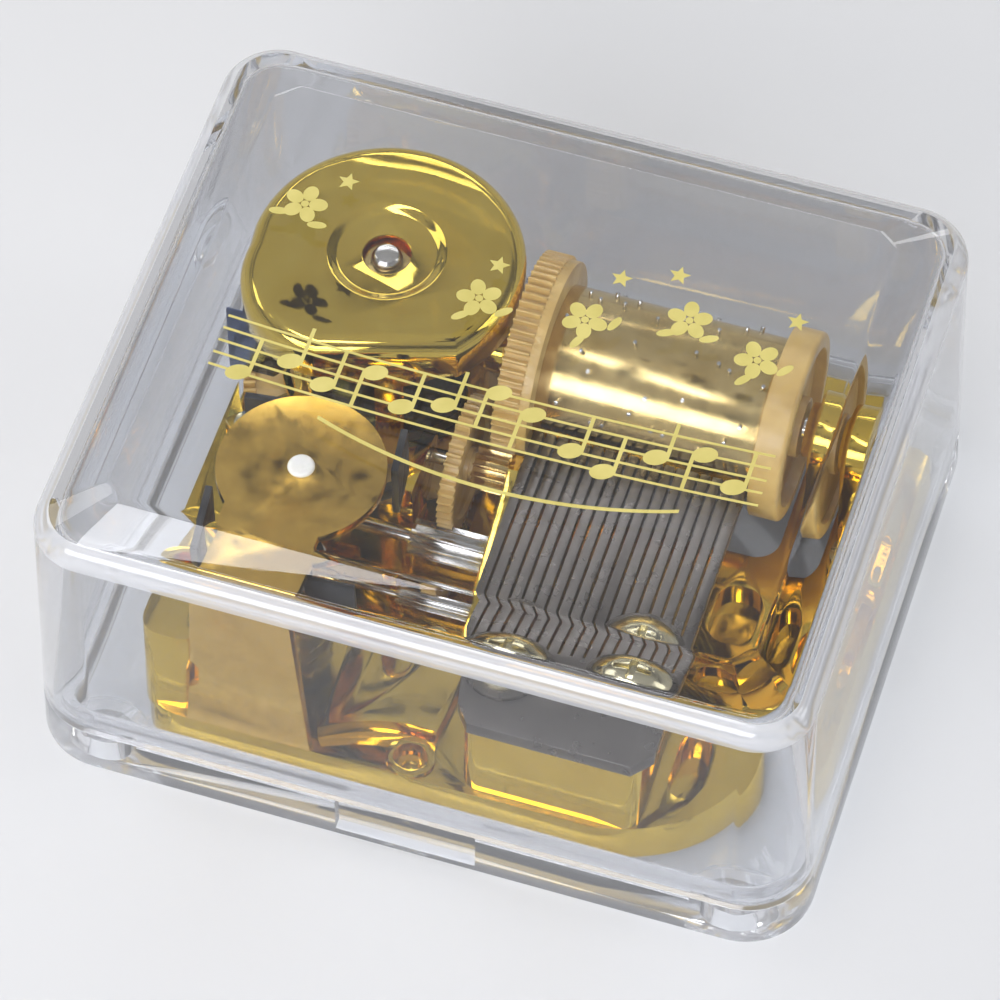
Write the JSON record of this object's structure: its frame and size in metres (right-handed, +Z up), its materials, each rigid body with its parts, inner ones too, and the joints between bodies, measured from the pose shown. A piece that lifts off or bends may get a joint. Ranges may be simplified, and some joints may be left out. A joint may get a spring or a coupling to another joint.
{
  "type": "music box",
  "caption": "Wind-up music box: pin cylinder, steel comb, spring barrel, gear train and air-brake governor in a clear two-part case.",
  "frame": {"origin": "centre of the underside of the case", "axes": "+X to the right along the comb side of the case, +Y from the comb side to the back, +Z up through the lid"},
  "size_m": [0.062, 0.0526, 0.0297],
  "materials": {
    "clear_case": "clear, polished",
    "print_ink": "printed ink",
    "gold_cast": "bright plated casting",
    "gold_sheet": "bright plated sheet",
    "brass": "turned",
    "tan_plastic": "moulded",
    "comb_steel": "ground and hardened",
    "lead": "dull",
    "pin_steel": "bright",
    "screw_steel": "polished",
    "washer_steel": "dark",
    "blued_steel": "blued",
    "black_plastic": "moulded",
    "white_plastic": "polished"
  },
  "bodies": {
    "base": {"case_base": "clear_case", "movement_screws": "screw_steel", "bedplate": "gold_cast", "barrel_cover": "gold_sheet", "barrel_drum": "gold_cast", "barrel_screws": "screw_steel", "mainspring": "blued_steel", "arbor_bush": "brass", "cylinder_standard": "gold_cast", "standard_screw": "screw_steel", "comb": "comb_steel", "comb_weights": "lead", "comb_washers": "washer_steel", "comb_screws": "screw_steel", "train_plate": "brass", "plate_screw": "screw_steel", "arbor_bushes": "brass", "governor_bracket": "gold_sheet", "pivot_button": "white_plastic", "lower_pivot": "white_plastic"},
    "lid": {"case_cover": "clear_case", "top_print": "print_ink"},
    "cylinder": {"cylinder_tube": "brass", "cylinder_pins": "pin_steel", "cylinder_gear": "tan_plastic", "cylinder_end_disc": "tan_plastic", "cylinder_shaft": "pin_steel"},
    "crown": {"crown_wheel": "tan_plastic", "click": "pin_steel", "click_spring": "pin_steel"},
    "winder": {"winding_arbor": "pin_steel", "ratchet_wheel": "pin_steel", "key_hub": "pin_steel", "key_pin": "pin_steel"},
    "key": {"key_wing": "pin_steel"},
    "second": {"second_arbor": "pin_steel", "first_pinion": "brass", "second_wheel": "tan_plastic"},
    "third": {"third_arbor": "pin_steel", "second_pinion": "pin_steel", "worm_wheel": "brass"},
    "governor": {"worm_spindle": "pin_steel", "governor_fan": "black_plastic"}
  },
  "joints": [
    {"name": "lid_lift", "type": "slide", "parent": "base", "child": "lid", "axis": [0, 0, 1], "range_m": [0, 0.03]},
    {"name": "cylinder_spin", "type": "hinge", "parent": "base", "child": "cylinder", "pos_m": [0.009, 0.0115, 0.0135], "axis": [1, 0, 0], "continuous": true},
    {"name": "crown_spin", "type": "hinge", "parent": "base", "child": "crown", "pos_m": [-0.0135, 0.0115, 0.004], "axis": [0, 0, 1], "continuous": true},
    {"name": "second_spin", "type": "hinge", "parent": "base", "child": "second", "pos_m": [-0.004, 0.00198, 0.01106], "axis": [1, 0, 0], "continuous": true},
    {"name": "third_spin", "type": "hinge", "parent": "base", "child": "third", "pos_m": [-0.008, -0.00397, 0.00825], "axis": [1, 0, 0], "continuous": true},
    {"name": "governor_spin", "type": "hinge", "parent": "base", "child": "governor", "pos_m": [-0.0135, -0.0091, 0.012], "axis": [0, 0, 1], "continuous": true},
    {"name": "winding", "type": "hinge", "parent": "crown", "child": "winder", "pos_m": [-0.0135, 0.0115, 0.004], "axis": [0, 0, 1], "range_deg": [0, 1800]},
    {"name": "key_fold", "type": "hinge", "parent": "winder", "child": "key", "pos_m": [-0.01165, 0.0115, 0.001], "axis": [0, -1, 0], "range_deg": [0, 90]}
  ],
  "couplings": [
    {"joint": "third_spin", "follows": "governor_spin", "ratio": 0.04},
    {"joint": "second_spin", "follows": "governor_spin", "ratio": -0.0095238},
    {"joint": "cylinder_spin", "follows": "governor_spin", "ratio": 0.0017316},
    {"joint": "crown_spin", "follows": "governor_spin", "ratio": 0.0012422}
  ]
}
